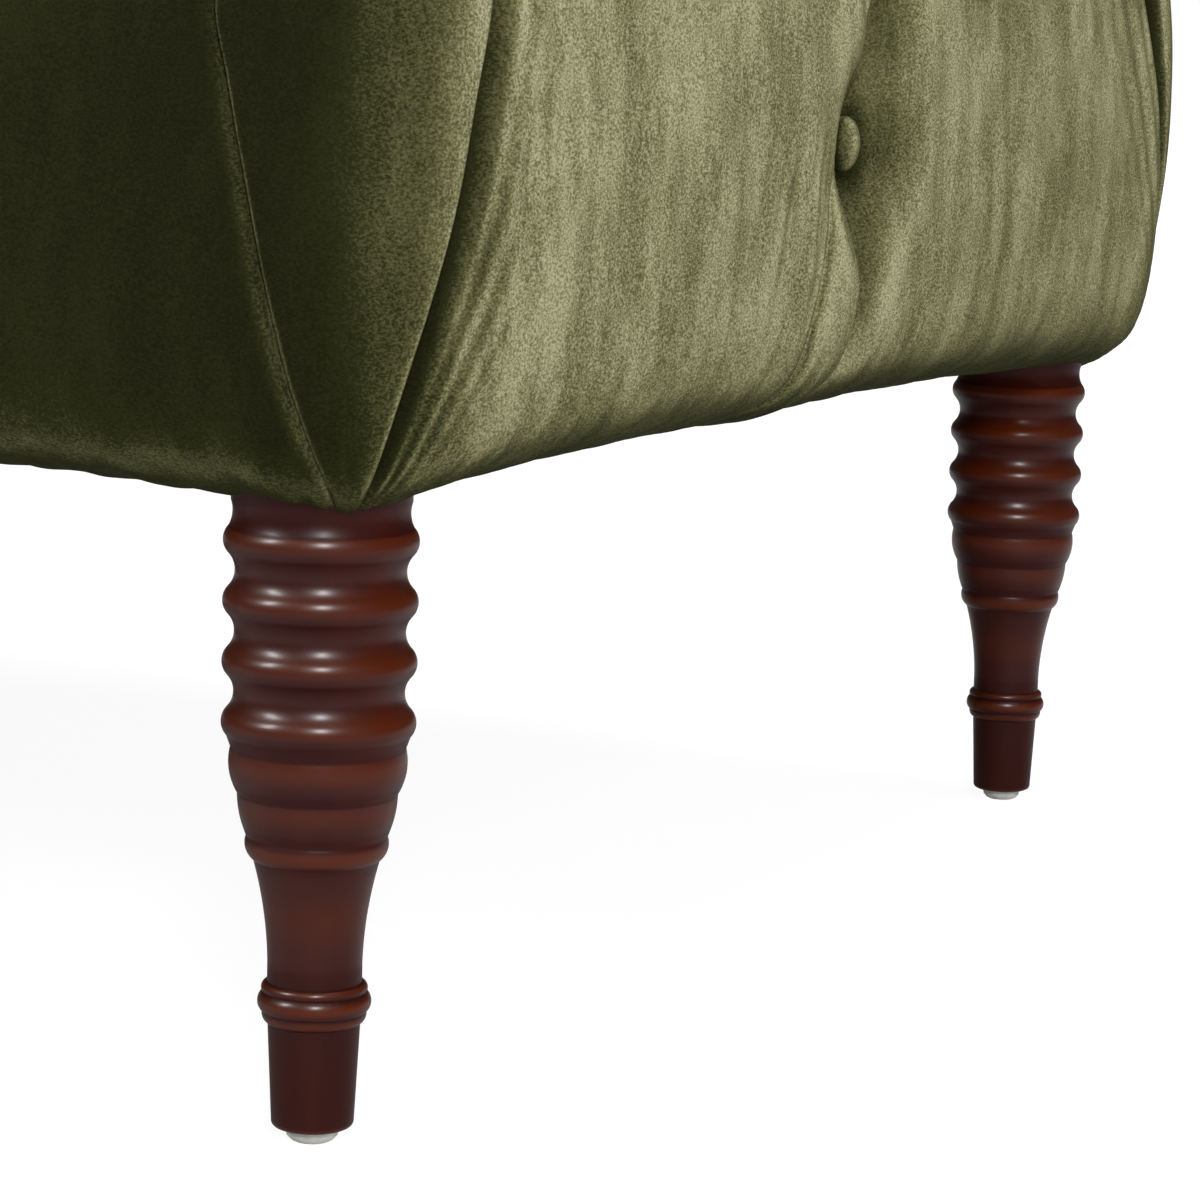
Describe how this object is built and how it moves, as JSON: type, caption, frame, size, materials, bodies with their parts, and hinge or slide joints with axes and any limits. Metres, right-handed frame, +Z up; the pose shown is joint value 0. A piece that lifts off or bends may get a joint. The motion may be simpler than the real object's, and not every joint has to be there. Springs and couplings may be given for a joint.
{
  "type": "chaise longue",
  "caption": "Deep-buttoned velvet chaise longue with a scrolled raked back at one end, a long tufted seat and ring-turned tapered wooden legs.",
  "frame": {"origin": "on the floor under the middle of the overall box", "axes": "+Z up, +Y along the length towards the scrolled back, +X across, to the sitter's left when facing the foot end"},
  "size_m": [0.71, 1.56, 0.853],
  "materials": {
    "velvet": "olive green pile velvet over wadding",
    "button_velvet": "covered buttons in the same velvet",
    "lacquered_wood": "mahogany stain under satin lacquer",
    "frame_timber": "sawn, unfinished",
    "steel": "zinc plated",
    "glide_plastic": "moulded, matt",
    "foam": "cut foam and wadding",
    "jute": "woven",
    "dust_cloth": "non-woven, matt"
  },
  "bodies": {
    "root": {"seat_cover": "velvet", "back_cover": "velvet", "back_facing_left": "velvet", "back_facing_right": "velvet", "outside_back_panel": "velvet", "facing_welt_left": "velvet", "facing_welt_right": "velvet", "seat_buttons": "button_velvet", "foot_button": "button_velvet", "side_buttons_left": "button_velvet", "side_buttons_right": "button_velvet", "back_buttons": "button_velvet", "leg_foot_left": "lacquered_wood", "leg_foot_right": "lacquered_wood", "leg_head_left": "lacquered_wood", "leg_head_right": "lacquered_wood", "side_rail_left": "frame_timber", "side_rail_right": "frame_timber", "foot_rail": "frame_timber", "head_rail": "frame_timber", "cross_rail_front": "frame_timber", "cross_rail_rear": "frame_timber", "corner_block_foot_left": "frame_timber", "corner_block_foot_right": "frame_timber", "corner_block_head_left": "frame_timber", "corner_block_head_right": "frame_timber", "back_post_left": "frame_timber", "back_post_right": "frame_timber", "back_top_rail": "frame_timber", "back_middle_rail": "frame_timber", "back_lower_rail": "frame_timber", "frame_dowels": "frame_timber", "corner_block_screws": "steel", "hanger_bolts": "steel", "tee_nuts": "steel", "seat_springs": "steel", "spring_clips": "steel", "glides": "glide_plastic", "seat_foam": "foam", "back_foam": "foam", "roll_stuffing": "foam", "foot_pad": "foam", "side_pad_left": "foam", "side_pad_right": "foam", "seat_deck": "jute", "back_straps": "jute", "dust_cover": "dust_cloth"}
  },
  "joints": []
}
